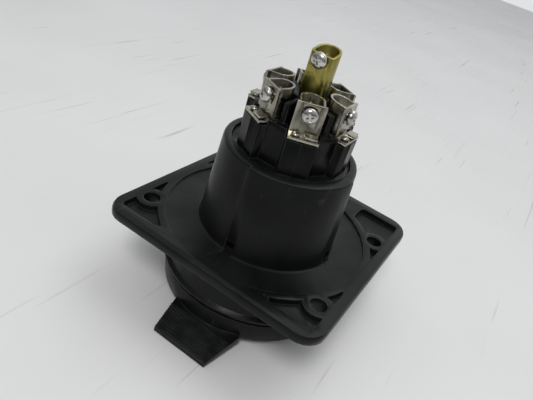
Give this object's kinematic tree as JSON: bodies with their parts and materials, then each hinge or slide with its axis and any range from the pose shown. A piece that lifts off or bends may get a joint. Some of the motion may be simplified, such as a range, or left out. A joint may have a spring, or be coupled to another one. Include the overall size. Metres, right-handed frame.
{
  "type": "trailer connector socket",
  "caption": "Black round vehicle-side trailer socket with a square four-hole flange, sprung lid, ring of clamp terminals and a tall brass centre terminal.",
  "frame": {"origin": "centre of the lid's flat outer face, which the socket stands on", "axes": "+Z along the barrel's axis, out of the terminals; -Y towards the lid's thumb tab; +Y towards the lid's hinge"},
  "size_m": [0.0754, 0.0818, 0.0864],
  "materials": {
    "shell_plastic": "moulded black plastic, satin",
    "carrier_plastic": "moulded black plastic, slightly glossier",
    "gasket_rubber": "matte moulded rubber",
    "nickel_plate": "bright nickel plate on brass sheet",
    "screw_steel": "bright plated steel",
    "brass": "plain yellow brass, slightly tarnished",
    "spring_steel": "bright steel"
  },
  "bodies": {
    "socket": {"housing": "shell_plastic", "contact_carrier": "carrier_plastic", "terminal_clamp_1": "nickel_plate", "blade_contact_1": "nickel_plate", "contact_rivet_1": "nickel_plate", "terminal_clamp_2": "nickel_plate", "blade_contact_2": "nickel_plate", "contact_rivet_2": "nickel_plate", "terminal_clamp_3": "nickel_plate", "blade_contact_3": "nickel_plate", "contact_rivet_3": "nickel_plate", "terminal_clamp_4": "nickel_plate", "blade_contact_4": "nickel_plate", "contact_rivet_4": "nickel_plate", "terminal_clamp_5": "nickel_plate", "blade_contact_5": "nickel_plate", "contact_rivet_5": "nickel_plate", "terminal_clamp_6": "nickel_plate", "blade_contact_6": "nickel_plate", "contact_rivet_6": "nickel_plate", "centre_clamp": "brass", "centre_pin": "brass", "hinge_pin": "spring_steel", "lid_spring": "spring_steel"},
    "lid": {"lid": "shell_plastic", "lid_gasket": "gasket_rubber"},
    "clamp_screw_1": {"clamp_screw_1": "screw_steel"},
    "clamp_screw_2": {"clamp_screw_2": "screw_steel"},
    "clamp_screw_3": {"clamp_screw_3": "screw_steel"},
    "clamp_screw_4": {"clamp_screw_4": "screw_steel"},
    "clamp_screw_5": {"clamp_screw_5": "screw_steel"},
    "clamp_screw_6": {"clamp_screw_6": "screw_steel"},
    "centre_screw": {"centre_screw": "screw_steel"}
  },
  "joints": [
    {"name": "lid_hinge", "type": "hinge", "parent": "socket", "child": "lid", "pos_m": [0, 0.035, 0.014], "axis": [1, 0, 0], "range_deg": [0, 105], "stiffness_Nm_per_rad": 0.03, "springref_deg": -45.84, "deforming": ["lid_spring"]},
    {"name": "clamp_screw_1_travel", "type": "slide", "parent": "socket", "child": "clamp_screw_1", "axis": [0.5, -0.866, 0], "range_m": [-0.0004, 0.0025]},
    {"name": "clamp_screw_2_travel", "type": "slide", "parent": "socket", "child": "clamp_screw_2", "axis": [1, 0, 0], "range_m": [-0.0004, 0.0025]},
    {"name": "clamp_screw_3_travel", "type": "slide", "parent": "socket", "child": "clamp_screw_3", "axis": [0.5, 0.866, 0], "range_m": [-0.0004, 0.0025]},
    {"name": "clamp_screw_4_travel", "type": "slide", "parent": "socket", "child": "clamp_screw_4", "axis": [-0.5, 0.866, 0], "range_m": [-0.0004, 0.0025]},
    {"name": "clamp_screw_5_travel", "type": "slide", "parent": "socket", "child": "clamp_screw_5", "axis": [-1, 0, 0], "range_m": [-0.0004, 0.0025]},
    {"name": "clamp_screw_6_travel", "type": "slide", "parent": "socket", "child": "clamp_screw_6", "axis": [-0.5, -0.866, 0], "range_m": [-0.0004, 0.0025]},
    {"name": "centre_screw_travel", "type": "slide", "parent": "socket", "child": "centre_screw", "axis": [0, -1, 0], "range_m": [-0.0004, 0.0025]}
  ]
}
